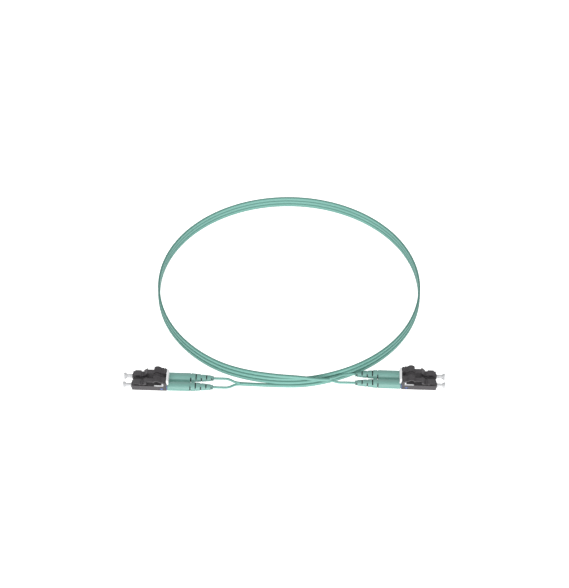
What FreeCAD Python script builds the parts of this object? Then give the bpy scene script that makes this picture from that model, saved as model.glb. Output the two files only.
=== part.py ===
import FreeCAD, Part
import math
import os

# Duplex fibre patch cord, lying on a flat surface as a three-turn loop.
# Millimetres. Origin on the surface, midway between the two ends. +X runs from the left
# end to the right end, +Y away from the ends towards the far side of the loop, +Z up.
# Each plug is drawn in its own frame: X runs back from the nose face towards the cord,
# Y across, Z up from the ferrule's axis. The plug's outer side is at minus Y.

# Where the two ends lie
noseReach = 90.44          # nose face from the origin, along X
plugPitch = 6.25           # ferrule to ferrule
endOffset = plugPitch / 2  # duplex centre line from the origin, along Y
axisHeight = 2.8           # ferrule axis above the surface

# Housing
bodyWidth = 4.42
bodyHeight = 4.52
bodyLength = 20.6
bodyRound = 0.3
bossRadius = 1.75
bossLength = 0.4
noseBoreRadius = 1.45
noseBoreDepth = 4.0
seatThickness = 1.0
seatBoreRadius = 0.85
springBoreRadius = 1.65
pocketSide = 3.5
pocketStart = 12.6
windowStart = 16.8
windowLength = 1.8
windowHeight = 2.0
windowLow = -1.7

# Latch and its root
rootStart = 1.3
rootHeight = 1.65
rootHalfWidth = 1.72
rootPlate = 0.45
rootNeck = 1.0
hingeBase = 0.9
latchAxisX = 5.2
latchAxisZ = 2.8
latchBarrel = 0.42
webThickness = 0.6
webHalfWidth = 1.5
rampFoot = 6.3
rampTop = 8.8
spikeZ = 5.6
armTop = 5.8
armThickness = 0.7
armHalfWidth = 1.2
armEnd = 13.6
lugHalfWidth = 2.15
lugLow = 3.4
reliefEnd = 9.0
reliefDepth = 0.3
reliefHalfWidth = 1.7

# Trigger
humpX = 15.2
humpZ = 5.8
humpRadius = 2.3
triggerWall = 0.65
triggerHalfWidth = 2.2
footGap = 0.15
padTop = 6.6
padEnd = 19.0
pivotX = 19.6
pivotZ = 5.2
pivotBarrel = 0.68
tailHalfWidth = 1.45
trunnionRadius = 0.45
trunnionReach = 0.45
ribCount = 5
ribRadius = 0.12

# Ears that carry the trigger
earStart = 19.1
earTop = 6.2
earSlopeStart = 19.8
earRearTop = 4.4
earRearEnd = 21.0
earRearLow = 2.95
earThickness = 0.66
innerEarEnd = 20.3
innerEarTop = 5.95

# White yoke that joins the two plugs
railStart = 13.4
railWidth = 0.6
railHeight = 0.4
railInset = 0.16
linkStart = 17.9
linkWidth = 0.7
linkHeight = 1.1
plateStart = 20.75
plateThickness = 1.2
plateLow = 2.95
plateTop = 6.9
plateCorner = 0.8

# Ferrule, flange and spring
ferruleRadius = 0.625
ferruleProud = 2.4
ferruleLength = 9.4
collarRadius = 1.5
collarLength = 1.2
flangeTailRadius = 0.9
flangeTailLength = 2.6
springWire = 0.3
springTurns = 5

# Rear body, crimp sleeve and boot
rearBlock = 3.3
tabLength = 1.5
tabHeight = 1.7
tabProud = 0.6
fibreBore = 0.45
rearFlangeSide = 4.0
rearFlangeThickness = 0.4
tailRadius = 1.25
tailLength = 3.5
sleeveWall = 0.28
sleeveNeckWall = 0.3
sleeveNeckLength = 1.8
bootRadius = 2.8
bootStraight = 12.6
bootLength = 27.1
bootTipRadius = 1.5
bootSlotPitch = 3.12
bootSlotCount = 5
bootSlotWidth = 0.7
bootSlotCore = 0.9
bootStep = 0.1
sideSlotHalfAngle = 58.0
topSlotHalfAngle = 60.0

# Dust cap
capStemRadius = 1.15
capInside = 2.3
capTip = 5.5
capHeadRadius = 2.05
capHeadThickness = 0.7
capConeLength = 1.3

# Cord
jacketRadius = 0.6
jacketPitch = 1.9          # the two jackets of the flat cord, centre to centre
turnCount = 3
loopCentreX = 0.37
loopCentreY = 69.75
loopHalfLength = 81.87     # along X, to the cord's centre line
loopHalfWidth = 70.76      # along Y
loopTurn = 1.02            # degrees about the vertical

# Clearances
slideGap = 0.05
fitGap = 0.04
partGap = 0.1

# Values worked out from the ones above
cordHeight = jacketPitch + 2 * jacketRadius
halfBody = bodyWidth / 2
topZ = bodyHeight / 2
rootEnd = latchAxisX
seatEnd = noseBoreDepth + seatThickness
collarFront = seatEnd + slideGap
springFront = collarFront + collarLength + slideGap
blockFront = pocketStart + partGap
springRear = blockFront - slideGap
flangeFront = bodyLength + slideGap
flangeRear = flangeFront + rearFlangeThickness
bootFront = flangeRear + slideGap
tailEnd = flangeRear + tailLength
sleeveFront = flangeRear + 0.3
sleeveInner = tailRadius + slideGap
sleeveOuter = sleeveInner + sleeveWall
neckInner = jacketRadius + fitGap
neckOuter = neckInner + sleeveNeckWall
neckEnd = tailEnd + sleeveNeckLength
bootEnd = bootFront + bootLength
firstSlot = bootFront + bootStraight + bootSlotWidth
railOuter = halfBody - railInset
railInner = railOuter - railWidth
earInner = halfBody - earThickness
plateHalf = plugPitch / 2 + earInner - 2 * partGap

axisX = FreeCAD.Vector(1, 0, 0)
axisY = FreeCAD.Vector(0, 1, 0)
axisZ = FreeCAD.Vector(0, 0, 1)
origin = FreeCAD.Vector(0, 0, 0)


def point(x, y, z):
    return FreeCAD.Vector(x, y, z)


def block(x0, x1, y0, y1, z0, z1):
    return Part.makeBox(x1 - x0, y1 - y0, z1 - z0, point(x0, y0, z0))


def alongX(radius, x0, x1):
    return Part.makeCylinder(radius, x1 - x0, point(x0, 0, 0), axisX)


def acrossY(radius, x, z, y0, y1):
    return Part.makeCylinder(radius, y1 - y0, point(x, y0, z), axisY)


def profileAcross(outline, y0, y1):
    # A side profile, given as X and Z, drawn out across the plug.
    corners = [point(x, y0, z) for x, z in outline]
    face = Part.Face(Part.makePolygon(corners + corners[:1]))
    return face.extrude(point(0, y1 - y0, 0))


def turned(outline):
    # A profile, given as X and radius, turned about the ferrule's axis.
    corners = [point(x, 0, r) for x, r in outline]
    face = Part.Face(Part.makePolygon(corners + corners[:1]))
    return face.revolve(origin, axisX, 360)


def lengthwiseEdges(shape):
    found = []
    for edge in shape.Edges:
        start, end = edge.Vertexes[0].Point, edge.Vertexes[-1].Point
        if abs(start.y - end.y) + abs(start.z - end.z) < 1e-6:
            found.append(edge)
    return found


# Housing: one moulding with the nose, the latch root and the ears for the trigger.
def makeHousing():
    shell = block(0, bodyLength, -halfBody, halfBody, -topZ, topZ)
    shell = shell.makeFillet(bodyRound, lengthwiseEdges(shell))
    boss = alongX(bossRadius, -bossLength, partGap)
    boss = boss.makeChamfer(bossLength / 3, [edge for edge in boss.Edges if isFrontCircle(edge)])
    rootTop = topZ + rootHeight
    plate = block(rootStart, rootEnd, -rootHalfWidth, rootHalfWidth, rootTop - rootPlate, rootTop)
    plate = plate.makeChamfer(rootPlate / 2, [edge for edge in plate.Edges if isRootFront(edge)])
    neck = block(rootStart + rootPlate, rootEnd, -rootNeck, rootNeck, topZ - partGap, rootTop - partGap)
    base = block(rootEnd - hingeBase, rootEnd, -rootHalfWidth, rootHalfWidth,
                 topZ - partGap, rootTop - rootPlate)
    outerEar = profileAcross(
        [(earStart, 0), (earStart, earTop - 0.3), (earStart + 0.3, earTop), (earSlopeStart, earTop),
         (earRearEnd, earRearTop), (earRearEnd, earRearLow), (bodyLength, earRearLow),
         (bodyLength, 0)],
        -halfBody, -earInner)
    innerEar = profileAcross(
        [(earStart, 0), (earStart, innerEarTop), (innerEarEnd, innerEarTop),
         (innerEarEnd, 0)],
        earInner, halfBody)
    body = shell.fuse([boss, plate, neck, base, outerEar, innerEar])
    cuts = [
        alongX(noseBoreRadius, -bossLength - 1, noseBoreDepth),
        alongX(seatBoreRadius, 0, bodyLength),
        alongX(springBoreRadius, seatEnd, bodyLength),
        block(pocketStart, bodyLength + 1, -pocketSide / 2, pocketSide / 2,
              -pocketSide / 2, pocketSide / 2),
        makeWindow(),
        block(latchAxisX, reliefEnd, -reliefHalfWidth, reliefHalfWidth,
              topZ - reliefDepth, topZ + rootHeight + 1),
        acrossY(latchBarrel + fitGap, latchAxisX, latchAxisZ, -halfBody, halfBody),
        acrossY(trunnionRadius + fitGap, pivotX, pivotZ,
                -tailHalfWidth - trunnionReach - partGap, tailHalfWidth + trunnionReach + partGap),
    ]
    return body.cut(cuts).removeSplitter()


def isFrontCircle(edge):
    return abs(edge.BoundBox.XMax + bossLength) < 1e-6


def isRootFront(edge):
    box = edge.BoundBox
    return box.XMax - rootStart < 1e-6 and box.ZMin > topZ + rootHeight - 1e-6


def makeWindow():
    # The opening for the rear body's snap tab, in both side walls, with rounded corners.
    opening = block(windowStart, windowStart + windowLength, -halfBody - 1, halfBody + 1,
                    windowLow, windowLow + windowHeight)
    corners = [edge for edge in opening.Edges
               if edge.BoundBox.YLength > bodyWidth]
    return opening.makeFillet(windowLength / 6, corners)


# Latch: a springy tongue with two locking lugs, pressed down by the trigger.
def makeLatch():
    webLow = latchAxisZ - webThickness / 2
    webHigh = latchAxisZ + webThickness / 2
    armLow = armTop - armThickness
    barrel = acrossY(latchBarrel, latchAxisX, latchAxisZ, -webHalfWidth, webHalfWidth)
    web = block(latchAxisX, rampFoot + webThickness, -webHalfWidth, webHalfWidth, webLow, webHigh)
    ramp = profileAcross(
        [(rampFoot, webLow), (rampFoot, webHigh), (rampTop, armTop),
         (rampTop + armThickness, armTop), (rampTop + armThickness, armLow),
         (rampTop + 0.2, armLow), (rampFoot + 1.1, webLow)],
        -armHalfWidth, armHalfWidth)
    arm = block(rampTop, armEnd, -armHalfWidth, armHalfWidth, armLow, armTop)
    arm = arm.makeFillet(armThickness / 3, [edge for edge in arm.Edges if isArmEnd(edge)])
    lugSlope = (rampTop - rampFoot) / (armTop - webHigh)
    lugFoot = rampFoot + (lugLow - webHigh) * lugSlope
    lugPeak = rampFoot + (spikeZ - webHigh) * lugSlope
    lugs = profileAcross(
        [(lugFoot, lugLow), (lugPeak, spikeZ), (lugPeak + 0.25, spikeZ),
         (lugPeak + 0.4, armTop - 0.3), (lugPeak + 0.4, lugLow + 0.6), (lugFoot + 0.9, lugLow)],
        -lugHalfWidth, lugHalfWidth)
    return barrel.fuse([web, ramp, arm, lugs]).removeSplitter()


def isArmEnd(edge):
    return edge.BoundBox.XMin > armEnd - 1e-6 and edge.BoundBox.YLength > armHalfWidth


# Trigger: a thin arched lever with grip ribs, hinged between the ears at its rear.
def makeTrigger():
    innerRadius = humpRadius - triggerWall
    ring = acrossY(humpRadius, humpX, humpZ, -triggerHalfWidth, triggerHalfWidth).cut(
        acrossY(innerRadius, humpX, humpZ, -triggerHalfWidth - 1, triggerHalfWidth + 1))
    footZ = armTop + footGap
    arch = ring.common(block(humpX - humpRadius - 1, humpX + humpRadius + 1,
                             -triggerHalfWidth, triggerHalfWidth, footZ, humpZ + humpRadius + 1))
    padLow = padTop - triggerWall
    pad = block(humpX + innerRadius, padEnd, -triggerHalfWidth, triggerHalfWidth, padLow, padTop)
    tail = block(padEnd - 1, pivotX, -tailHalfWidth, tailHalfWidth, padLow, padTop)
    barrel = acrossY(pivotBarrel, pivotX, pivotZ, -tailHalfWidth, tailHalfWidth)
    cheek = block(pivotX - pivotBarrel, pivotX + pivotBarrel * 0.7, -tailHalfWidth, tailHalfWidth,
                  pivotZ, padTop)
    trunnions = acrossY(trunnionRadius, pivotX, pivotZ,
                        -tailHalfWidth - trunnionReach, tailHalfWidth + trunnionReach)
    lever = arch.fuse([pad, tail, barrel, cheek, trunnions])
    for i in range(ribCount):
        angle = math.radians(60 + i * 60 / (ribCount - 1))
        lever = lever.fuse(acrossY(ribRadius, humpX + humpRadius * math.cos(angle),
                                   humpZ + humpRadius * math.sin(angle),
                                   -triggerHalfWidth + 0.3, triggerHalfWidth - 0.3))
    return lever.removeSplitter()


# Ceramic ferrule with rounded tip edge and a fine bore's entry cone at the rear.
def makeFerrule():
    rod = alongX(ferruleRadius, -ferruleProud, ferruleLength - ferruleProud)
    tip = [edge for edge in rod.Edges if edge.BoundBox.XMax < -ferruleProud + 1e-6]
    return rod.makeChamfer(ferruleRadius / 4, tip)


def makeFlange():
    tailStartX = collarFront + collarLength
    bore = ferruleRadius + 0.01
    ferruleRear = ferruleLength - ferruleProud
    return turned([
        (collarFront, bore), (collarFront, collarRadius - 0.3), (collarFront + 0.3, collarRadius),
        (tailStartX, collarRadius), (tailStartX, flangeTailRadius),
        (tailStartX + flangeTailLength, flangeTailRadius),
        (tailStartX + flangeTailLength, fibreBore), (ferruleRear + 0.02, fibreBore),
        (ferruleRear + 0.02, bore)])


def makeSpring():
    # Square wire on a helix, with half a wire's room at each end.
    meanRadius = flangeTailRadius + partGap + springWire / 2
    run = springRear - springFront - springWire
    pitch = run / springTurns
    helix = Part.makeHelix(pitch, run, meanRadius)
    half = springWire / 2
    corners = [point(meanRadius + a * half, 0, b * half)
               for a, b in ((-1, -1), (1, -1), (1, 1), (-1, 1))]
    section = Part.Wire(Part.makePolygon(corners + corners[:1]))
    coil = Part.Wire(helix.Edges).makePipeShell([section], True, True)
    coil.rotate(origin, axisY, 90)
    coil.translate(point(springFront + half, 0, 0))
    return coil


# Rear body: the blue block that closes the housing, with snap tabs and the crimp tail.
def makeRearBody():
    half = rearBlock / 2
    core = block(blockFront, flangeFront, -half, half, -half, half)
    tabX = windowStart + (windowLength - tabLength) / 2
    tabZ = windowLow + (windowHeight - tabHeight) / 2
    reach = half + tabProud
    tabs = block(tabX, tabX + tabLength, -reach, reach, tabZ, tabZ + tabHeight)
    tabs = tabs.makeChamfer(tabProud * 0.6, [edge for edge in tabs.Edges if isTabFace(edge, reach)])
    side = rearFlangeSide / 2
    flange = block(flangeFront, flangeRear, -side, side, -side, side)
    flange = flange.makeFillet(side / 3, lengthwiseEdges(flange))
    tail = alongX(tailRadius, flangeRear, tailEnd)
    bore = alongX(fibreBore, blockFront - 1, tailEnd + 1)
    return core.fuse([tabs, flange, tail]).cut(bore).removeSplitter()


def isTabFace(edge, reach):
    box = edge.BoundBox
    return box.YLength < 1e-6 and abs(abs(box.YMin) - reach) < 1e-6


def makeCrimpSleeve():
    return turned([
        (sleeveFront, sleeveInner), (sleeveFront, sleeveOuter), (tailEnd, sleeveOuter),
        (tailEnd + 0.5, neckOuter), (neckEnd, neckOuter), (neckEnd, neckInner),
        (tailEnd + 0.2, neckInner), (tailEnd + slideGap, sleeveInner)])


# Boot: a straight sleeve, then a stepped taper whose rings are slotted by turns at the
# sides and at top and bottom, so that it bends.
def makeBoot():
    wideBore = sleeveOuter + partGap
    narrowBore = jacketRadius + slideGap
    slotted = bootEnd - firstSlot

    def radiusAt(x):
        share = max(0.0, (x - firstSlot) / slotted)
        return bootRadius + (bootTipRadius - bootRadius) * share

    outline = [(bootFront, wideBore), (bootFront, bootRadius - 0.3), (bootFront + 0.3, bootRadius),
               (firstSlot, bootRadius)]
    for i in range(bootSlotCount):
        start = firstSlot + i * bootSlotPitch
        end = start + bootSlotWidth
        outline += [(start, radiusAt(start) - bootStep), (end, radiusAt(start) - bootStep),
                    (end, radiusAt(end) + bootStep / 2)]
        following = min(start + bootSlotPitch, bootEnd - 0.3)
        outline += [(following, radiusAt(following) + bootStep / 2)]
    outline += [(bootEnd, bootTipRadius - 0.3), (bootEnd, narrowBore),
                (neckEnd + 1.5, narrowBore), (neckEnd + partGap, wideBore)]
    boot = turned(outline)
    slots = []
    for i in range(bootSlotCount):
        start = firstSlot + i * bootSlotPitch
        atSides = i % 2 == 0
        half = sideSlotHalfAngle if atSides else topSlotHalfAngle
        for middle in ((90, 270) if atSides else (0, 180)):
            slots.append(makeSlot(start, half, middle))
    return boot.cut(slots)


def makeSlot(start, half, middle):
    # Part of a ring, its middle at an angle measured from the bottom.
    ring = Part.makeCylinder(bootRadius + 1, bootSlotWidth, origin, axisZ, 2 * half)
    ring = ring.cut(Part.makeCylinder(bootSlotCore, bootSlotWidth))
    ring.rotate(origin, axisZ, middle - half)
    ring.rotate(origin, axisY, 90)
    ring.translate(point(start, 0, 0))
    return ring


# Dust cap: a stem over the ferrule, a short flare and a round grip disc.
def makeCap():
    bore = ferruleRadius + slideGap
    discFront = -capTip
    discRear = discFront + capHeadThickness
    coneEnd = discRear + capConeLength
    return turned([
        (discFront, 0), (discFront, capHeadRadius - 0.2), (discFront + 0.2, capHeadRadius),
        (discRear, capHeadRadius), (coneEnd, capStemRadius), (capInside - 0.2, capStemRadius),
        (capInside, capStemRadius - 0.2), (capInside, bore),
        (-ferruleProud - partGap, bore), (-ferruleProud - partGap - bore, 0)])


# Yoke: two rails on top of the housings, joined by an upright plate behind the triggers.
def makeYoke():
    side = plugPitch / 2
    plate = block(plateStart, plateStart + plateThickness, -plateHalf, plateHalf, plateLow, plateTop)
    plate = plate.makeFillet(plateCorner, [edge for edge in plate.Edges if isPlateTop(edge)])
    railTop = topZ + railHeight
    railEnd = earStart - partGap
    pieces = []
    for way in (-1, 1):
        outer, inner = side + railOuter, side + railInner
        rail = profileAcross(
            [(railStart, topZ), (railStart + railHeight, railTop), (railEnd, railTop), (railEnd, topZ)],
            *sorted((way * inner, way * outer)))
        bridge = block(linkStart, railEnd, *sorted((way * (plateHalf - linkWidth), way * outer)),
                       topZ, railTop)
        link = block(linkStart, bootFront - partGap,
                     *sorted((way * (plateHalf - linkWidth), way * plateHalf)),
                     topZ, topZ + linkHeight)
        pieces += [rail, bridge, link]
    return plate.fuse(pieces).removeSplitter()


def isPlateTop(edge):
    box = edge.BoundBox
    return box.ZMin > plateTop - 1e-6 and box.YLength < 1e-6


# Where a plug's shapes go: the left end faces minus X, the right end is turned half round.
def placed(shape, end, plug):
    moved = shape.copy()
    if plug == "b":
        moved = moved.mirror(origin, axisY)
    if plug:
        moved.translate(point(0, plugPitch / 2 if plug == "b" else -plugPitch / 2, 0))
    moved.translate(point(-noseReach, -endOffset, axisHeight))
    if end == "right":
        moved.rotate(origin, axisZ, 180)
    return moved


def save(name, shape):
    if not shape.isValid() or shape.Volume <= 0:
        raise ValueError(name + " isn't a sound solid")
    shape.exportStep("parts/" + name + ".step")
    print(name, len(shape.Solids), round(shape.Volume, 2))


# Path of a cord: straight runs joined by tangent arcs as large as the runs allow.
def roundedPath(points):
    edges = []
    radii = []
    runs = [(b - a).Length for a, b in zip(points, points[1:])]
    start = points[0]
    for i in range(1, len(points) - 1):
        before = (points[i] - points[i - 1]).normalize()
        after = (points[i + 1] - points[i]).normalize()
        turn = before.getAngle(after)
        cut = 0.45 * min(runs[i - 1], runs[i])
        radius = cut / math.tan(turn / 2)
        radii.append(round(radius, 1))
        arcStart = points[i] - before * cut
        arcEnd = points[i] + after * cut
        inward = ((arcStart + arcEnd) * 0.5 - points[i]).normalize()
        middle = points[i] + inward * (radius / math.cos(turn / 2) - radius)
        edges.append(Part.LineSegment(start, arcStart).toShape())
        edges.append(Part.Arc(arcStart, middle, arcEnd).toShape())
        start = arcEnd
    edges.append(Part.LineSegment(start, points[-1]).toShape())
    return Part.Wire(edges), radii


def flatSection(points):
    # The flat cord's section, on edge, square to the first run seen from above.
    side, at = sideways(points) * jacketRadius, points[0]
    up, tip = axisZ * (jacketPitch / 2), axisZ * jacketRadius
    return Part.Wire([
        Part.LineSegment(at + side - up, at + side + up).toShape(),
        Part.Arc(at + side + up, at + up + tip, at - side + up).toShape(),
        Part.LineSegment(at - side + up, at - side - up).toShape(),
        Part.Arc(at - side - up, at - up - tip, at + side - up).toShape()])


def roundSection(points):
    ahead = sideways(points).cross(axisZ)
    return Part.Wire(Part.Circle(points[0], ahead, jacketRadius).toShape())


def sideways(points):
    return axisZ.cross(points[1] - points[0]).normalize()


def sweptCord(name, points, flat):
    path, radii = roundedPath(points)
    section = flatSection(points) if flat else roundSection(points)
    maker = Part.BRepOffsetAPI.MakePipeShell(path)
    maker.setBiNormalMode(axisZ)
    maker.add(section)
    maker.build()
    maker.makeSolid()
    tube = maker.shape()
    area = Part.Face(section).Area
    print(name, "length", round(path.Length, 1), "radii", radii,
          "volume over section times length", round(tube.Volume / (area * path.Length), 4))
    save(name, tube)


# Points on the loop's centre line, seen from above.
def loopPoint(x):
    # The point of the near side of the loop at a given X before it is turned.
    share = (x - loopCentreX) / loopHalfLength
    y = loopCentreY - loopHalfWidth * math.sqrt(1 - share * share)
    turn = FreeCAD.Rotation(axisZ, loopTurn)
    centre = point(loopCentreX, loopCentreY, 0)
    return centre + turn.multVec(point(x, y, 0) - centre)


def loopHeading(x):
    ahead = loopPoint(x + 0.05) - loopPoint(x - 0.05)
    return ahead.normalize()


# The cord goes under the turns at enterX and leaves over them at leaveX.
enterX = 12.0
leaveX = -2.0
climbLength = 42.0


def makeCoil():
    def ellipseFace(grow):
        curve = Part.Ellipse(origin, loopHalfLength + grow, loopHalfWidth + grow)
        return Part.Face(Part.Wire(curve.toShape()))

    height = turnCount * cordHeight
    band = ellipseFace(jacketRadius).cut(ellipseFace(-jacketRadius))
    full = band.extrude(point(0, 0, height + cordHeight))
    full.rotate(origin, axisZ, loopTurn)
    full.translate(point(loopCentreX, loopCentreY, 0))
    reach = 3 * loopHalfWidth

    def slice(at, outline):
        # A side profile measured along the loop from a point on its near side.
        tool = profileAcross(outline, -reach, loopHalfWidth / 2)
        heading = loopHeading(at)
        tool.rotate(origin, axisZ, math.degrees(math.atan2(heading.y, heading.x)))
        tool.translate(loopPoint(at))
        return tool

    under = slice(enterX, [(-climbLength - 12, -1), (-climbLength - 12, 0), (-12, cordHeight),
                           (0, cordHeight), (0, -1)])
    top = height + cordHeight
    over = slice(leaveX, [(-climbLength, height), (0, top), (0, height)])
    keep = full.common(block(-reach, reach, -reach, reach, 0, height))
    hump = full.common(over)
    return keep.cut(under).fuse(hump).removeSplitter()


def cordPoints():
    # The legs go into their boots up to the rear bodies' tails.
    tubeUp = axisZ * (jacketPitch / 2)
    side = plugPitch / 2
    legEnd = noseReach - tailEnd
    left = point(-24.4, -endOffset, cordHeight / 2)
    right = point(27.4, 0.6, 6.0)
    enter = loopPoint(enterX) + axisZ * (cordHeight / 2)
    leave = loopPoint(leaveX) + axisZ * (turnCount + 0.5) * cordHeight
    routes = {
        "flat_cord_left": [
            left, point(-14.5, -endOffset, left.z), enter - loopHeading(enterX) * 13, enter],
        "flat_cord_right": [
            leave, leave + loopHeading(leaveX) * 5.5, point(10.6, -2.1, 10.7),
            point(16.2, -2.0, 9.4), point(21.9, -0.9, 7.6), right]}
    for plug, way in (("a", -1), ("b", 1)):
        y = -endOffset + way * side
        end = left + tubeUp * way
        routes["left_" + plug + "_leg"] = [
            point(-legEnd, y, axisHeight), point(-34.0, y, axisHeight), point(-29.2, end.y, end.z), end]
    routes["right_b_leg"] = [
        right - tubeUp, point(30.6, 1.3, 4.3), point(35.4, 0, axisHeight),
        point(legEnd, 0, axisHeight)]
    routes["right_a_leg"] = [
        right + tubeUp, point(30.8, 1.4, 6.6), point(35.2, 3.4, 5.2), point(40.4, plugPitch, axisHeight),
        point(legEnd, plugPitch, axisHeight)]
    return routes


def main():
    os.makedirs("parts", exist_ok=True)
    plugPieces = {
        "housing": makeHousing(),
        "latch": makeLatch(),
        "trigger": makeTrigger(),
        "ferrule": makeFerrule(),
        "ferrule_flange": makeFlange(),
        "spring": makeSpring(),
        "rear_body": makeRearBody(),
        "crimp_sleeve": makeCrimpSleeve(),
        "boot": makeBoot(),
        "dust_cap": makeCap(),
    }
    yoke = makeYoke()
    for end in ("left", "right"):
        for plug in ("a", "b"):
            for piece, shape in plugPieces.items():
                save(end + "_" + plug + "_" + piece, placed(shape, end, plug))
        save(end + "_yoke", placed(yoke, end, ""))
    for name, points in cordPoints().items():
        sweptCord(name, points, "flat" in name)
    save("cord_coil", makeCoil())


main()
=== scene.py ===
import math
import bpy
import bmesh
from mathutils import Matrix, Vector


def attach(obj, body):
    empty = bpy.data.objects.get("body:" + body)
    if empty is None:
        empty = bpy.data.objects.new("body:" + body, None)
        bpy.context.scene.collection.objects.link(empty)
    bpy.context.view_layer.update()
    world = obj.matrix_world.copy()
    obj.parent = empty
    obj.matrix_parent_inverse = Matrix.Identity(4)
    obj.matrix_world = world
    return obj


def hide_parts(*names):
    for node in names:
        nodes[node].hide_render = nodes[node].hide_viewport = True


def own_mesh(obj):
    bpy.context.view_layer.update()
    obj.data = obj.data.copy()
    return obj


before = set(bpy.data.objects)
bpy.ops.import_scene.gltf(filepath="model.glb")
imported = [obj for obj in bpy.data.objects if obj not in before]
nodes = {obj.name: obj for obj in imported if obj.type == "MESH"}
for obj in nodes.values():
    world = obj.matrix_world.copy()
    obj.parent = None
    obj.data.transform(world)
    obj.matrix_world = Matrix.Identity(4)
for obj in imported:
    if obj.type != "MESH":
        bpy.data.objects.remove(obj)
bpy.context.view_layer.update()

mm = 0.001
rootBody = "cord_and_housings"

# Where the plugs lie: their noses' X, their axes' height, and the spacing of the two of an end.
plugs = {"noseX": 90.44 * mm, "axis": 2.8 * mm, "pitch": 6.25 * mm}
plugPlaces = [("left_a", 1, -plugs["pitch"]), ("left_b", 1, 0.0),
              ("right_a", -1, plugs["pitch"]), ("right_b", -1, 0.0)]


# Shader maths: a socket that can be added, multiplied and mixed.
class Wire:
    def __init__(self, tree, socket):
        self.tree = tree
        self.socket = socket

    def maths(self, operation, other=0.0, swapped=False):
        pair = (other, self) if swapped else (self, other)
        return self.tree.node("ShaderNodeMath", {"operation": operation}, {0: pair[0], 1: pair[1]})

    def between(self, low, high):
        return self.maths("MAXIMUM", low).maths("MINIMUM", high)

    def __add__(self, other):
        return self.maths("ADD", other)

    __radd__ = __add__

    def __sub__(self, other):
        return self.maths("SUBTRACT", other)

    def __rsub__(self, other):
        return self.maths("SUBTRACT", other, True)

    def __mul__(self, other):
        return self.maths("MULTIPLY", other)

    __rmul__ = __mul__

    def __truediv__(self, other):
        return self.maths("DIVIDE", other)

    def __rtruediv__(self, other):
        return self.maths("DIVIDE", other, True)


class Nodes:
    # A node tree, in which every node comes from node().
    def __init__(self, tree):
        self.tree = tree
        self.tree.nodes.clear()

    def node(self, kind, settings=None, inputs=None, out=0):
        made = self.tree.nodes.new(kind)
        for key, value in (settings or {}).items():
            if key == "stops":
                ramp = made.color_ramp
                while len(ramp.elements) < len(value):
                    ramp.elements.new(0.5)
                for element, (place, grey) in zip(ramp.elements, value):
                    element.position = place
                    element.color = (grey, grey, grey, 1)
            else:
                setattr(made, key, value)
        for key, value in (inputs or {}).items():
            if isinstance(value, Wire):
                self.tree.links.new(value.socket, made.inputs[key])
            else:
                made.inputs[key].default_value = value
        return Wire(self, made.outputs[out]) if made.outputs else made

    def outputs(self, kind, inputs=None):
        # Every output of one node, by its name.
        made = self.node(kind, None, inputs).socket.node
        return {output.name: Wire(self, output) for output in made.outputs}

    def seenDirectly(self):
        # 1 for what the camera, gloss and glass look at, 0 for the light that falls on things.
        rays = self.outputs("ShaderNodeLightPath")
        looks = rays["Is Camera Ray"].maths("MAXIMUM", rays["Is Glossy Ray"])
        return looks.maths("MAXIMUM", rays["Is Transmission Ray"])


class Finish(Nodes):
    # A material, whose patterns read the object's own coordinates.
    def __init__(self, name):
        self.material = bpy.data.materials.new(name)
        self.material.use_nodes = True
        super().__init__(self.material.node_tree)
        self.coords = self.node("ShaderNodeTexCoord", out="Object")

    def noise(self, scale, detail=2.0, rough=0.5, at=None):
        return self.node("ShaderNodeTexNoise", {"noise_dimensions": "3D"},
                         {"Vector": at or self.coords, "Scale": scale, "Detail": detail,
                          "Roughness": rough})

    def stretched(self, coords, scale):
        return self.node("ShaderNodeMapping", None, {"Vector": coords, "Scale": scale})

    def ramp(self, value, start, end):
        # 0 below the start, 1 above the end.
        return self.node("ShaderNodeValToRGB", {"stops": [(start, 0.0), (end, 1.0)]}, {0: value})

    def mix(self, factor, a, b):
        return self.node("ShaderNodeMix", {"data_type": "RGBA"}, {0: factor, 6: a, 7: b}, 2)

    def bump(self, height, strength, distance):
        return self.node("ShaderNodeBump", None,
                         {"Height": height, "Strength": strength, "Distance": distance})

    def surface(self, inputs):
        shader = self.node("ShaderNodeBsdfPrincipled", None, inputs)
        self.node("ShaderNodeOutputMaterial", None, {0: shader})
        return self.material


def rgb(red, green, blue):
    # From the 0 to 255 that a picture shows to the linear values a shader takes.
    linear = []
    for part in (red, green, blue):
        share = part / 255
        linear.append(share / 12.92 if share <= 0.04045 else ((share + 0.055) / 1.055) ** 2.4)
    return (*linear, 1.0)


# The moulded plastics. The colours are those of a plain, even light.
# The rubber's "shaded" colour is a painted shade, inside the boots' slots.
rubberLook = {"light": (120, 167, 158), "deep": (112, 160, 150), "shaded": (24, 34, 34),
              "rough": 0.5, "grain": 3200.0, "bump": 0.35, "coat": 0.15}
# The black's "shaded" colour is a painted shade, on the sides the two plugs of an end turn to each
# other.
blackLook = {"light": (79, 77, 79), "deep": (68, 65, 68), "shaded": (40, 37, 40),
             "rough": 0.44, "grain": 2600.0, "bump": 0.4, "gloss": 0.3}
whiteLook = {"light": (248, 249, 250), "deep": (240, 241, 243), "rough": 0.38, "grain": 2200.0,
             "bump": 0.2}
capLook = {"light": (218, 219, 220), "deep": (203, 204, 206), "rough": 0.45, "grain": 1400.0,
           "bump": 0.15, "coat": 0.1, "scatter": 0.35}
blueLook = {"light": (104, 126, 184), "deep": (80, 100, 156), "rough": 0.3, "grain": 1800.0,
            "bump": 0.2, "coat": 0.2}
moulding = {"clouds": 60.0, "cloudStops": (0.3, 0.7), "cloudBump": 0.3, "cloudRough": 0.1,
            "grainRough": 0.16, "specks": 0.45, "speckStops": (0.62, 0.72), "speckShare": 0.12,
            "speckLift": 40, "depth": 0.03 * mm, "coatRough": 0.2, "scatterDepth": 2.0 * mm,
            "scatterScale": 0.5}


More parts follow.
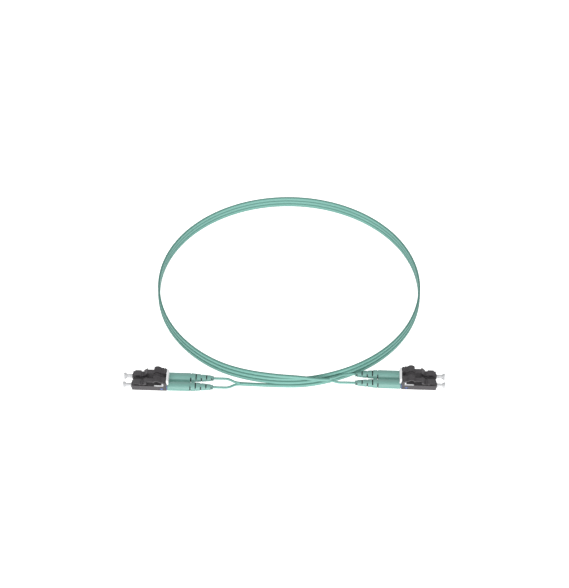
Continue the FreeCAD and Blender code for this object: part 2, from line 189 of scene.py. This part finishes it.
def mouldedPlastic(name, look, shadeOver=None):
    # Two close tones in broad clouds, a few paler specks and a fine grain.
    finish = Finish(name)
    clouds = finish.noise(moulding["clouds"], 3.0)
    grain = finish.noise(look["grain"], 3.0, 0.6)
    specks = finish.ramp(finish.noise(look["grain"] * moulding["specks"], 1.0), *moulding["speckStops"])
    colour = finish.mix(finish.ramp(clouds, *moulding["cloudStops"]),
                        rgb(*look["deep"]), rgb(*look["light"]))
    pale = [min(255, part + moulding["speckLift"]) for part in look["light"]]
    colour = finish.mix(specks * moulding["speckShare"], colour, rgb(*pale))
    # Painted shade where shadeOver is given: inside the boots' slots and between a pair's plugs.
    if shadeOver:
        colour = finish.mix(shadeOver(finish), colour, rgb(*look["shaded"]))
    unevenness = (grain - 0.5) * moulding["grainRough"] + (clouds - 0.5) * moulding["cloudRough"]
    height = grain + clouds * moulding["cloudBump"]
    inputs = {"Base Color": colour, "Roughness": look["rough"] + unevenness,
              "Normal": finish.bump(height, look["bump"], moulding["depth"])}
    if "gloss" in look:
        inputs["Specular IOR Level"] = look["gloss"]
    if "coat" in look:
        inputs["Coat Weight"] = look["coat"]
        inputs["Coat Roughness"] = moulding["coatRough"]
    if "scatter" in look:
        inputs["Subsurface Weight"] = look["scatter"]
        inputs["Subsurface Radius"] = (moulding["scatterDepth"],) * 3
        inputs["Subsurface Scale"] = moulding["scatterScale"]
    return finish.surface(inputs)


# The darkest colour is a painted shade, for the crown and foot of the flat cord.
jacketLook = {"light": (134, 183, 173), "deep": (123, 174, 163), "seamShade": (95, 143, 132),
              "rough": 0.55, "gloss": 0.2, "stretch": (14.0, 60.0, 1.0), "streaks": 3.0, "clouds": 45.0,
              "grain": 2700.0, "stops": (0.32, 0.68), "crown": (0.44, 0.68), "foot": (0.48, 0.7),
              "streakRough": 0.2, "grainRough": 0.08, "grainBump": 0.4, "bump": 0.3, "depth": 0.02 * mm}


def extrudedJacket(name, look):
    # The jacket has faint streaks along its length, from the die, and a dull sheen. The crown and
    # the foot of the flat cord carry a painted shade, darker where its turns meet.
    finish = Finish(name)
    along = finish.node("ShaderNodeUVMap", {"uv_map": "lengthAndRound"})
    streaks = finish.noise(look["streaks"], 4.0, 0.6, at=finish.stretched(along, look["stretch"]))
    clouds = finish.noise(look["clouds"], 2.0)
    grain = finish.noise(look["grain"], 2.0)
    colour = finish.mix(finish.ramp(streaks * 0.5 + clouds * 0.5, *look["stops"]),
                        rgb(*look["deep"]), rgb(*look["light"]))
    section = finish.node("ShaderNodeUVMap", {"uv_map": "section"})
    up = finish.outputs("ShaderNodeSeparateXYZ", {0: section})["Y"]
    crown = finish.ramp(up, *look["crown"])
    foot = finish.ramp(up * -1.0, *look["foot"])
    # Painted shade on the crown and foot of the flat cord, where its turns meet.
    colour = finish.mix(crown.maths("MAXIMUM", foot), colour, rgb(*look["seamShade"]))
    rough = look["rough"] + (streaks - 0.5) * look["streakRough"] + (grain - 0.5) * look["grainRough"]
    return finish.surface({
        "Base Color": colour, "Roughness": rough, "Specular IOR Level": look["gloss"],
        "Normal": finish.bump(streaks + grain * look["grainBump"], look["bump"], look["depth"])})


metalLook = {"light": (206, 204, 198), "deep": (168, 166, 160), "rough": 0.24,
             "rings": (9000.0, 300.0, 300.0), "ringRough": 0.2, "bump": 0.15, "depth": 0.02 * mm}


def turnedMetal(name, look):
    # Fine rings about the plug's axis.
    finish = Finish(name)
    rings = finish.noise(1.0, 3.0, 0.6, at=finish.stretched(finish.coords, look["rings"]))
    colour = finish.mix(rings, rgb(*look["deep"]), rgb(*look["light"]))
    return finish.surface({
        "Base Color": colour, "Metallic": 1.0,
        "Roughness": look["rough"] + (rings - 0.5) * look["ringRough"],
        "Normal": finish.bump(rings, look["bump"], look["depth"])})


ceramicLook = {"light": (240, 240, 236), "deep": (228, 228, 224), "rough": 0.12, "clouds": 900.0,
               "cloudRough": 0.06, "coat": 0.4, "coatRough": 0.05, "bump": 0.05, "depth": 0.01 * mm}


def polishedCeramic(name, look):
    finish = Finish(name)
    clouds = finish.noise(look["clouds"], 2.0)
    colour = finish.mix(clouds, rgb(*look["deep"]), rgb(*look["light"]))
    return finish.surface({
        "Base Color": colour, "Roughness": look["rough"] + (clouds - 0.5) * look["cloudRough"],
        "Coat Weight": look["coat"], "Coat Roughness": look["coatRough"],
        "Normal": finish.bump(clouds, look["bump"], look["depth"])})


# The boots' taper, and how far below its surface a slot gets painted shade.
bootShape = {"wide": 2.8 * mm, "tip": 1.5 * mm, "taperFrom": 56.04 * mm, "taperTo": 42.24 * mm,
             "dark": 0.24 * mm, "clear": 0.08 * mm}


def paintedSlotShade(finish):
    # Painted shade in the boots' slots: 1 deep inside them, 0 on their outer surface.
    place = finish.outputs("ShaderNodeSeparateXYZ", {0: finish.coords})
    fromMiddle = place["Y"].maths("ABSOLUTE")
    across = fromMiddle.maths("MINIMUM", (fromMiddle - plugs["pitch"]).maths("ABSOLUTE"))
    up = place["Z"] - plugs["axis"]
    radius = (across * across + up * up).maths("SQRT")
    run = bootShape["taperFrom"] - bootShape["taperTo"]
    tapered = ((bootShape["taperFrom"] - place["X"].maths("ABSOLUTE")) / run).maths("MAXIMUM", 0.0)
    surface = bootShape["wide"] - tapered * (bootShape["wide"] - bootShape["tip"])
    depth = (surface - radius - bootShape["clear"]) / (bootShape["dark"] - bootShape["clear"])
    return depth.between(0.0, 1.0)


# How far from the middle between two plugs their facing sides get painted shade.
plugGap = {"dark": 1.1 * mm, "clear": 1.3 * mm}


def paintedGapShade(finish):
    # Painted shade between the plugs: 1 on the sides that the two plugs of an end turn to each other, 0
    # on the rest of them.
    place = finish.outputs("ShaderNodeSeparateXYZ", {0: finish.coords})
    middle = place["X"].maths("SIGN") * (plugs["pitch"] / 2)
    away = (place["Y"] - middle).maths("ABSOLUTE")
    return ((plugGap["clear"] - away) / (plugGap["clear"] - plugGap["dark"])).between(0.0, 1.0)


jacketFinish = extrudedJacket("aquaJacket", jacketLook)
rubberFinish = mouldedPlastic("aquaRubber", rubberLook, paintedSlotShade)
blackFinish = mouldedPlastic("blackPlastic", blackLook, paintedGapShade)
whiteFinish = mouldedPlastic("whitePlastic", whiteLook)
capFinish = mouldedPlastic("capPlastic", capLook)
blueFinish = mouldedPlastic("bluePlastic", blueLook)
ceramicFinish = polishedCeramic("whiteCeramic", ceramicLook)
metalFinish = turnedMetal("nickelMetal", metalLook)
print("finishes made")

nodeFinish = {
    "housing": blackFinish, "latch": blackFinish, "trigger": blackFinish, "ferrule": ceramicFinish,
    "ferrule_flange": metalFinish, "spring": metalFinish, "rear_body": blueFinish,
    "crimp_sleeve": metalFinish, "boot": rubberFinish, "dust_cap": capFinish, "yoke": whiteFinish}
for name, node in nodes.items():
    for ending, finish in nodeFinish.items():
        if name.endswith(ending):
            for place in node.material_slots:
                place.material = finish
print("frame nodes dressed")


def link(name, data):
    # A new object of this mesh, lamp, curve or camera, in the scene.
    piece = bpy.data.objects.new(name, data)
    bpy.context.scene.collection.objects.link(piece)
    return piece


def inMillimetres(places):
    return [tuple(part * mm for part in place) for place in places]


# The flat cord, wound in turns that stand on each other, and its two ends.
cord = {
    "jacketRadius": 0.6 * mm, "jacketPitch": 1.9 * mm, "webHalf": 0.57 * mm, "webPinch": 0.93,
    "lobeSteps": 14, "turns": 3, "rise": 3.02 * mm, "pointsEachTurn": 30, "stepsEachPoint": 6,
    "loopCentre": (0.37 * mm, 69.53 * mm), "loopHalf": (81.87 * mm, 70.98 * mm), "loopTurn": 1.02,
    "enterX": 12.0 * mm, "leaveX": -2.0 * mm, "climbStartX": -45.0 * mm,
    "fan": (0.2 * mm, 0.3 * mm), "lean": 0.15 * mm,
    "sagNear": 0.85 * mm, "sagAt": 4.0 * mm, "sagSpread": 20.0 * mm,
    "head": [(-27.4, -2.4, 1.55), (-15.0, -2.7, 1.55), (-1.0, -2.9, 1.55)],
    "tail": [(4.0, -2.2, 10.65), (10.6, -2.5, 10.45), (16.2, -2.4, 9.3), (21.9, -1.7, 7.5),
             (27.4, -0.4, 6.0)]}
cordHeight = cord["jacketPitch"] + 2 * cord["jacketRadius"]
uvEachMetre = 100


def splineLine(name, controls, steps):
    # The points of a smooth line that these control points pull along.
    curve = bpy.data.curves.new(name, "CURVE")
    curve.dimensions = "3D"
    spline = curve.splines.new("NURBS")
    spline.points.add(len(controls) - 1)
    for place, control in zip(spline.points, controls):
        place.co = (*control, 1)
    spline.order_u = 3
    spline.use_endpoint_u = True
    spline.resolution_u = steps
    holder = link(name, curve)
    graph = bpy.context.evaluated_depsgraph_get()
    mesh = bpy.data.meshes.new_from_object(holder.evaluated_get(graph))
    line = [vertex.co.copy() for vertex in mesh.vertices]
    bpy.data.objects.remove(holder)
    bpy.data.meshes.remove(mesh)
    return line


def sweptTube(name, line, outline, finish):
    # Carries a closed outline, given sideways and up, along a line; the outline stays upright.
    made = bmesh.new()
    uvLayer = made.loops.layers.uv.new("lengthAndRound")
    sectionLayer = made.loops.layers.uv.new("section")
    rings = []
    travelled = [0.0]
    for i, here in enumerate(line):
        before, after = line[max(i - 1, 0)], line[min(i + 1, len(line) - 1)]
        ahead = (after - before).normalized()
        side = Vector((-ahead.y, ahead.x, 0)).normalized()
        up = ahead.cross(side)
        rings.append([made.verts.new(here + side * w + up * h) for w, h in outline])
        if i:
            travelled.append(travelled[-1] + (here - line[i - 1]).length)
    count = len(outline)
    around = [0.0]
    for i in range(count):
        a, b = Vector(outline[i]), Vector(outline[(i + 1) % count])
        around.append(around[-1] + (b - a).length)
    for i in range(len(rings) - 1):
        for j in range(count):
            k = (j + 1) % count
            face = made.faces.new((rings[i][j], rings[i + 1][j], rings[i + 1][k], rings[i][k]))
            face.smooth = True
            places = ((i, j), (i + 1, j), (i + 1, j + 1), (i, j + 1))
            for loop, (s, t) in zip(face.loops, places):
                loop[uvLayer].uv = (travelled[s] * uvEachMetre, around[t] * uvEachMetre)
                loop[sectionLayer].uv = [2 * part / cordHeight for part in outline[t % count]]
    made.faces.new(rings[0])
    made.faces.new(list(reversed(rings[-1])))
    bmesh.ops.recalc_face_normals(made, faces=made.faces)
    mesh = bpy.data.meshes.new(name)
    made.to_mesh(mesh)
    made.free()
    mesh.materials.append(finish)
    return link(name, mesh)


def flatOutline():
    # Two round jackets side by side on edge, with a thin web between them.
    radius, half = cord["jacketRadius"], cord["jacketPitch"] / 2
    meet = math.acos(cord["webHalf"] / radius)
    outline = []
    for way in (1, -1):
        for i in range(cord["lobeSteps"] + 1):
            angle = -meet + (math.pi + 2 * meet) * i / cord["lobeSteps"]
            outline.append((way * radius * math.cos(angle), way * (half + radius * math.sin(angle))))
        outline.append((-way * cord["webHalf"] * cord["webPinch"], 0.0))
    return outline


def ringPlace(angle, turned):
    # A point of the loop's centre line. Each turn is a little smaller than the one below it and
    # lies a little further back, and the near side sags a little to the front.
    spare = cord["turns"] / 2 - turned
    across, deep = (half + fan * spare for half, fan in zip(cord["loopHalf"], cord["fan"]))
    # The line of order 3 runs this much inside its control points.
    inside = (3 + math.cos(math.tau / cord["pointsEachTurn"])) / 4
    x, y = across * math.cos(angle) / inside, deep * math.sin(angle) / inside
    turn = math.radians(cord["loopTurn"])
    x, y = x * math.cos(turn) - y * math.sin(turn), x * math.sin(turn) + y * math.cos(turn)
    x, y = x + cord["loopCentre"][0], y + cord["loopCentre"][1] - cord["lean"] * spare
    if math.sin(angle) < 0:
        y -= cord["sagNear"] * math.exp(-((x - cord["sagAt"]) / cord["sagSpread"]) ** 2)
    return x, y


def ringAngle(x):
    # Where the loop's near side is at this X.
    return -math.acos((x - cord["loopCentre"][0]) / cord["loopHalf"][0])


def cordControls():
    # From where the left legs join, round the loop, to where the right legs part. Each turn runs
    # level, then climbs onto the one before along its near side.
    controls = inMillimetres(cord["head"])
    begin = ringAngle(cord["enterX"])
    climbStart = ringAngle(cord["climbStartX"]) + math.tau
    climbEnd = ringAngle(cord["leaveX"]) + math.tau
    lastAngle = climbEnd + (cord["turns"] - 1) * math.tau
    step = math.tau / cord["pointsEachTurn"]
    for i in range(math.floor((lastAngle - begin) / step) + 1):
        angle = begin + step * i
        level = math.floor((angle - begin) / math.tau)
        within = begin + (angle - begin) % math.tau
        climbed = min(1.0, max(0.0, (within - climbStart) / (climbEnd - climbStart)))
        climbed = climbed * climbed * (3 - 2 * climbed)
        x, y = ringPlace(angle, (angle - begin) / math.tau)
        controls.append((x, y, cordHeight / 2 + (level + climbed) * cord["rise"]))
    return controls + inMillimetres(cord["tail"])


flatLine = splineLine("flatCordLine", cordControls(), cord["stepsEachPoint"])
flatCord = sweptTube("flatCord", flatLine, flatOutline(), jacketFinish)
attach(flatCord, rootBody)
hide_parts("flat_cord_left", "flat_cord_right", "cord_coil")


# The legs, each from its plug to the flat cord or back from the cord to its plug.
leg = {"radius": 0.74 * mm, "sides": 14, "stepsEachPoint": 10}
legRoutes = {
    "left_a_leg": [(-65.84, -6.25, 2.8), (-37.4, -6.25, 2.8), (-32.9, -6.25, 2.8), (-28.9, -2.3, 0.74),
                   (-26.4, -2.4, 0.74)],
    "left_b_leg": [(-65.84, 0, 2.8), (-37.4, 0, 2.8), (-33.3, 0, 2.8), (-28.9, -2.4, 2.5),
                   (-26.4, -2.4, 2.5)],
    "right_b_leg": [(26.9, -0.5, 5.2), (28.8, -0.4, 4.8), (32.4, -0.3, 2.8), (36.0, 0, 2.8),
                    (65.84, 0, 2.8)],
    "right_a_leg": [(26.9, -0.5, 7.1), (29.0, -0.1, 7.0), (33.4, 3.0, 5.8), (37.0, 5.0, 4.0),
                    (41.2, 6.25, 2.8), (46.0, 6.25, 2.8), (65.84, 6.25, 2.8)]}


def roundOutline(radius, sides):
    angles = [math.tau * i / sides for i in range(sides)]
    return [(radius * math.cos(angle), radius * math.sin(angle)) for angle in angles]


for name, route in legRoutes.items():
    line = splineLine(name + "Line", inMillimetres(route), leg["stepsEachPoint"])
    jacket = sweptTube(name + "Jacket", line, roundOutline(leg["radius"], leg["sides"]), jacketFinish)
    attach(jacket, rootBody)
    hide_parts(name)


# The springs in the plugs. Each is the frame's own coil, copied with its doubled points welded.
spring = {"backEnd": 12.65 * mm, "keep": 0.8425, "weld": 0.001 * mm}
for plug, side, plugY in plugPlaces:
    coilMesh = nodes[plug + "_spring"].data.copy()
    merged = bmesh.new()
    merged.from_mesh(coilMesh)
    bmesh.ops.remove_doubles(merged, verts=merged.verts, dist=spring["weld"])
    merged.to_mesh(coilMesh)
    merged.free()
    coil = link(plug + "SpringCoil", coilMesh)
    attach(coil, rootBody)
    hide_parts(plug + "_spring")
    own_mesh(coil)
print("springs made")


# The grip ribs on the triggers, in front of each arch's moulded ribs and along its pad.
grip = {
    "humpX": 15.2 * mm, "humpZ": 5.8 * mm, "humpRadius": 2.3 * mm, "archFrom": 152.0, "archTo": 128.0,
    "padFrom": 17.35 * mm, "padTo": 18.85 * mm, "padTop": 6.6 * mm,
    "halfWidth": 1.95 * mm, "radius": 0.11 * mm, "pitch": 0.42 * mm, "sides": 8}


def ribTree():
    # Round bars lie across the object, spaced along each line of the mesh they are given.
    group = bpy.data.node_groups.new("gripRibs", "GeometryNodeTree")
    face = group.interface
    face.new_socket("Geometry", in_out="INPUT", socket_type="NodeSocketGeometry")
    for label in ("Pitch", "Radius", "Half Width"):
        face.new_socket(label, in_out="INPUT", socket_type="NodeSocketFloat")
    face.new_socket("Sides", in_out="INPUT", socket_type="NodeSocketInt")
    face.new_socket("Material", in_out="INPUT", socket_type="NodeSocketMaterial")
    face.new_socket("Geometry", in_out="OUTPUT", socket_type="NodeSocketGeometry")
    tree = Nodes(group)
    given = tree.outputs("NodeGroupInput")
    line = tree.node("GeometryNodeMeshToCurve", None, {0: given["Geometry"]})
    spaced = tree.node("GeometryNodeResampleCurve", {"mode": "LENGTH"},
                       {"Curve": line, "Length": given["Pitch"]})
    near = tree.node("ShaderNodeCombineXYZ", None, {1: given["Half Width"] * -1.0})
    far = tree.node("ShaderNodeCombineXYZ", None, {1: given["Half Width"]})
    bar = tree.node("GeometryNodeCurvePrimitiveLine", None, {"Start": near, "End": far})
    ring = tree.node("GeometryNodeCurvePrimitiveCircle", None,
                     {"Resolution": given["Sides"], "Radius": given["Radius"]})
    rod = tree.node("GeometryNodeCurveToMesh", None,
                    {"Curve": bar, "Profile Curve": ring, "Fill Caps": True})
    rods = tree.node("GeometryNodeInstanceOnPoints", None, {"Points": spaced, "Instance": rod})
    solid = tree.node("GeometryNodeRealizeInstances", None, {0: rods})
    dressed = tree.node("GeometryNodeSetMaterial", None,
                        {"Geometry": solid, "Material": given["Material"]})
    tree.node("NodeGroupOutput", None, {0: dressed})
    return group


def gripLines(side, plugY):
    # The trigger's top line: two stretches of the arch, then the pad.
    def place(x, z):
        return (side * (x - plugs["noseX"]), plugY, z + plugs["axis"])

    arch = []
    for angle in (grip["archFrom"], (grip["archFrom"] + grip["archTo"]) / 2, grip["archTo"]):
        turn = math.radians(angle)
        arch.append(place(grip["humpX"] + grip["humpRadius"] * math.cos(turn),
                          grip["humpZ"] + grip["humpRadius"] * math.sin(turn)))
    pad = [place(grip["padFrom"], grip["padTop"]), place(grip["padTo"], grip["padTop"])]
    return arch + pad, [(0, 1), (1, 2), (3, 4)]


ribs = ribTree()
inputIds = {item.name: item.identifier for item in ribs.interface.items_tree if item.in_out == "INPUT"}
ribInputs = {"Pitch": grip["pitch"], "Radius": grip["radius"], "Half Width": grip["halfWidth"],
             "Sides": grip["sides"], "Material": blackFinish}
for plug, side, plugY in plugPlaces:
    points, edges = gripLines(side, plugY)
    lineMesh = bpy.data.meshes.new(plug + "GripLines")
    lineMesh.from_pydata(points, edges, [])
    holder = link(plug + "GripLines", lineMesh)
    modifier = holder.modifiers.new("ribs", "NODES")
    modifier.node_group = ribs
    for label, value in ribInputs.items():
        modifier[inputIds[label]] = value
    graph = bpy.context.evaluated_depsgraph_get()
    ribMesh = bpy.data.meshes.new_from_object(holder.evaluated_get(graph))
    bpy.data.objects.remove(holder)
    gripRibs = link(plug + "GripRibs", ribMesh)
    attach(gripRibs, plug + "_trigger_body")
print("grip ribs made")


# The camera looks down at the loop from the plugs' side.
view = {"target": Vector((-2.33, 66.8, 0)) * mm, "elevation": 53.0, "yaw": -2.1, "distance": 0.759,
        "lens": 73.47, "nearest": 0.01, "furthest": 10.0}
yaw, elevation = math.radians(view["yaw"]), math.radians(view["elevation"])
ahead = Vector((math.sin(yaw) * math.cos(elevation), math.cos(yaw) * math.cos(elevation),
                -math.sin(elevation)))
camera = link("camera", bpy.data.cameras.new("camera"))
camera.data.lens = view["lens"]
camera.data.clip_start = view["nearest"]
camera.data.clip_end = view["furthest"]
camera.location = view["target"] - ahead * view["distance"]
camera.rotation_euler = ahead.to_track_quat("-Z", "Y").to_euler()
bpy.context.scene.camera = camera

# Large soft lamps, aimed at the near half of the loop.
lampAim = Vector((0, 0.05, 0))
lamps = {
    "key": {"at": (-0.45, -2.0, 0.4), "size": 1.3, "power": 25.0, "shadow": True},
    "fill": {"at": (0.5, -1.8, 0.3), "size": 1.2, "power": 17.0, "shadow": False},
    "back": {"at": (-0.2, 1.9, 1.3), "size": 1.2, "power": 8.0, "shadow": True}}
for name, lamp in lamps.items():
    light = bpy.data.lights.new(name, "AREA")
    light.size = lamp["size"]
    light.energy = lamp["power"]
    light.use_shadow = lamp["shadow"]
    holder = link(name, light)
    holder.location = lamp["at"]
    holder.rotation_euler = (lampAim - Vector(lamp["at"])).to_track_quat("-Z", "Y").to_euler()

# The world and the paper on the floor are paler to the camera than the light they give.
backdrop = {"worldLight": 0.58, "worldSeen": 1.0, "white": (1, 1, 1, 1), "paper": (0.84, 0.84, 0.84, 1),
            "paperSeen": 0.9, "paperRough": 0.9, "reach": 3.0, "below": 0.05 * mm}
world = bpy.data.worlds.new("studio")
world.use_nodes = True
bpy.context.scene.world = world
air = Nodes(world.node_tree)
glow = backdrop["worldLight"] + air.seenDirectly() * (backdrop["worldSeen"] - backdrop["worldLight"])
sky = air.node("ShaderNodeBackground", None, {"Color": backdrop["white"], "Strength": glow})
air.node("ShaderNodeOutputWorld", None, {0: sky})

reach = backdrop["reach"]
floorMesh = bpy.data.meshes.new("floor")
floorMesh.from_pydata([(-reach, -reach, 0), (reach, -reach, 0), (reach, reach, 0), (-reach, reach, 0)],
                      [], [(0, 1, 2, 3)])
floor = link("floor", floorMesh)
floor.location.z = -backdrop["below"]
paper = Finish("paleFloor")
floorMesh.materials.append(paper.surface({
    "Base Color": backdrop["paper"], "Roughness": backdrop["paperRough"], "Specular IOR Level": 0.0,
    "Emission Color": backdrop["white"],
    "Emission Strength": paper.seenDirectly() * backdrop["paperSeen"]}))

bpy.context.scene.view_settings.view_transform = "Standard"
print("camera, light and floor set")
